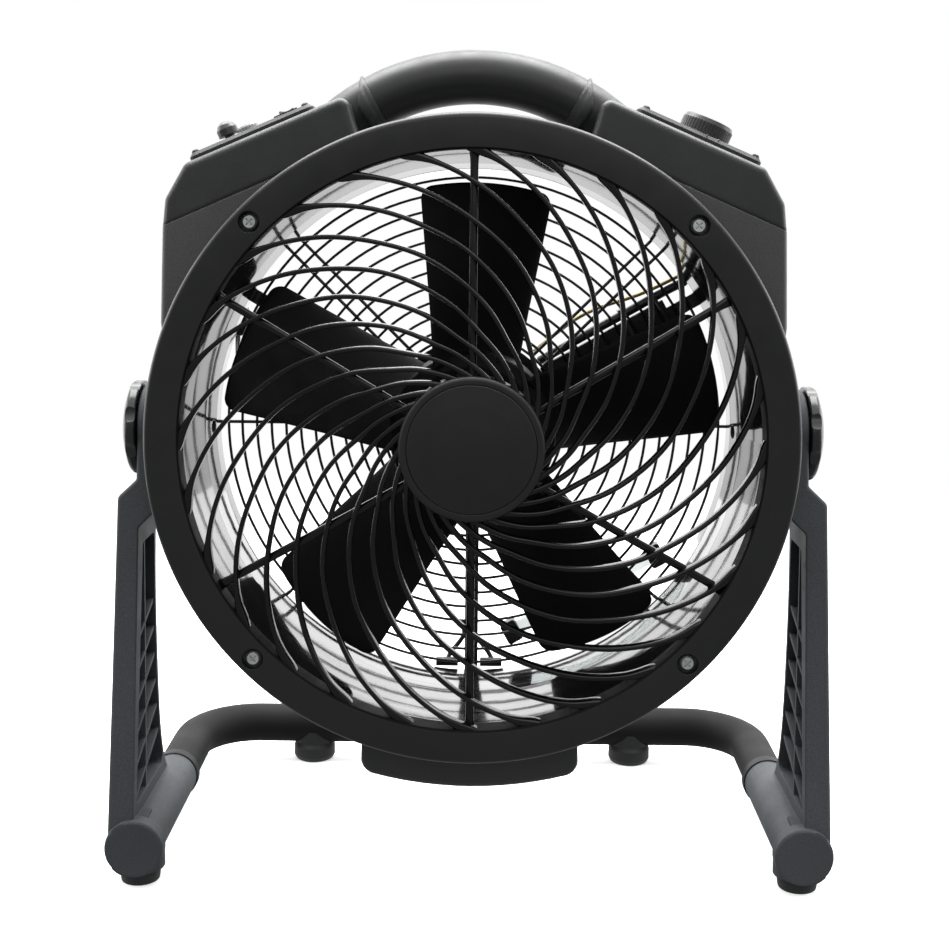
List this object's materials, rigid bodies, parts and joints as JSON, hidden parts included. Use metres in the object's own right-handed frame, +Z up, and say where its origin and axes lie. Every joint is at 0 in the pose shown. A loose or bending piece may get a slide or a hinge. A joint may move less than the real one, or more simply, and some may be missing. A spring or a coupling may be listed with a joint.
{
  "type": "axial air mover",
  "caption": "Portable axial air mover: round five-blade fan head with swirl front grille, shoulder control boxes and carry handle, tilting between two side arms on a U-tube stand.",
  "frame": {"origin": "on the floor, midway between the arms and midway between the front of the grille and the back of the rear feet", "axes": "+Z up; +Y towards the back, so air leaves towards -Y; +X to the right when looked at from the front"},
  "size_m": [0.46, 0.276, 0.531],
  "materials": {
    "arm_plastic": "satin moulded",
    "tube_steel": "satin powder coat",
    "rubber_black": "matt",
    "collar_plastic": "satin",
    "zinc_steel": "zinc plated",
    "washer_nylon": "satin",
    "grille_plastic": "satin moulded",
    "badge_plastic": "fine matt",
    "black_screw": "black oxide",
    "duct_plastic": "gloss",
    "side_plastic": "satin moulded",
    "cover_plastic": "satin moulded",
    "panel_plastic": "fine matt",
    "grip_rubber": "soft satin",
    "bare_steel": "drawn tube",
    "brass_insert": "turned",
    "wire_steel": "gloss powder coat",
    "bracket_steel": "gloss powder coat",
    "motor_paint": "satin",
    "lamination": "stacked laminations",
    "copper_wire": "enamelled copper",
    "bearing_steel": "ground",
    "cable_pvc": "satin",
    "yellow_lead": "satin",
    "tie_nylon": "satin",
    "clear_glass": "clear",
    "clamp_plastic": "satin",
    "switch_plastic": "satin",
    "board_green": "solder mask",
    "capacitor_grey": "can",
    "blade_plastic": "fine matt",
    "knob_gloss": "gloss",
    "dial_plastic": "satin knurled",
    "grey_plastic": "satin",
    "boot_rubber": "soft satin"
  },
  "bodies": {
    "stand": {"left_arm": "arm_plastic", "right_arm": "arm_plastic", "base_tube": "tube_steel", "front_feet": "rubber_black", "rear_feet": "rubber_black", "tube_collars": "collar_plastic", "foot_screws": "zinc_steel", "tube_screws": "zinc_steel", "pivot_washers": "washer_nylon"},
    "head": {"front_grille": "grille_plastic", "center_badge": "badge_plastic", "grille_screws": "zinc_steel", "guard_screws": "zinc_steel", "motor_mount_screws": "zinc_steel", "back_cover_screws": "black_screw", "panel_screws": "black_screw", "fan_drum": "duct_plastic", "left_side_housing": "side_plastic", "right_side_housing": "side_plastic", "left_shoulder_cover": "cover_plastic", "right_shoulder_cover": "cover_plastic", "left_control_panel": "panel_plastic", "right_control_panel": "panel_plastic", "left_back_cover": "cover_plastic", "right_back_cover": "cover_plastic", "handle_grip": "grip_rubber", "handle_core": "bare_steel", "handle_collars": "cover_plastic", "pivot_inserts": "brass_insert", "rear_guard": "wire_steel", "motor_bracket": "bracket_steel", "motor_front_case": "motor_paint", "motor_rear_case": "motor_paint", "motor_stator": "lamination", "motor_windings": "copper_wire", "motor_bearings": "bearing_steel", "motor_cable": "cable_pvc", "power_cord": "cable_pvc", "power_plug": "cable_pvc", "strain_relief": "cable_pvc", "control_lead": "yellow_lead", "cable_ties": "tie_nylon", "ionizer_plate": "clear_glass", "ionizer_clamps": "clamp_plastic", "strut_clip": "clamp_plastic", "speed_switch": "switch_plastic", "mode_switch": "switch_plastic", "reset_breaker": "switch_plastic", "rocker_housing": "switch_plastic", "control_board": "board_green", "run_capacitor": "capacitor_grey"},
    "fan": {"motor_rotor": "bearing_steel", "impeller": "blade_plastic", "impeller_nut": "zinc_steel"},
    "left_clamp": {"left_clamp_knob": "knob_gloss"},
    "right_clamp": {"right_clamp_knob": "knob_gloss"},
    "speed_dial": {"speed_knob": "dial_plastic"},
    "mode_dial": {"mode_knob": "grey_plastic"},
    "reset": {"reset_button": "boot_rubber"},
    "power_rocker": {"rocker": "grey_plastic"}
  },
  "joints": [
    {"name": "head_tilt", "type": "hinge", "parent": "stand", "child": "head", "pos_m": [0, -0.05, 0.288], "axis": [1, 0, 0], "continuous": true},
    {"name": "fan_spin", "type": "hinge", "parent": "head", "child": "fan", "pos_m": [0, -0.05, 0.288], "axis": [0, 1, 0], "continuous": true},
    {"name": "left_clamp_turn", "type": "hinge", "parent": "stand", "child": "left_clamp", "pos_m": [-0.2135, -0.05, 0.288], "axis": [-1, 0, 0], "continuous": true},
    {"name": "right_clamp_turn", "type": "hinge", "parent": "stand", "child": "right_clamp", "pos_m": [0.2135, -0.05, 0.288], "axis": [1, 0, 0], "continuous": true},
    {"name": "speed_turn", "type": "hinge", "parent": "head", "child": "speed_dial", "pos_m": [0.142, -0.056, 0.47313], "axis": [0.3923, 0, 0.9198], "range_deg": [0, 270]},
    {"name": "mode_turn", "type": "hinge", "parent": "head", "child": "mode_dial", "pos_m": [-0.1431, -0.042, 0.47266], "axis": [-0.3923, 0, 0.9198], "range_deg": [0, 180]},
    {"name": "reset_press", "type": "slide", "parent": "head", "child": "reset", "axis": [0.3923, 0, -0.9198], "range_m": [0, 0.002], "stiffness_N_per_m": 600, "springref_m": -0.0005},
    {"name": "rocker_throw", "type": "hinge", "parent": "head", "child": "power_rocker", "pos_m": [-0.11713, -0.058, 0.48569], "axis": [0, -1, 0], "range_deg": [0, 14]}
  ]
}
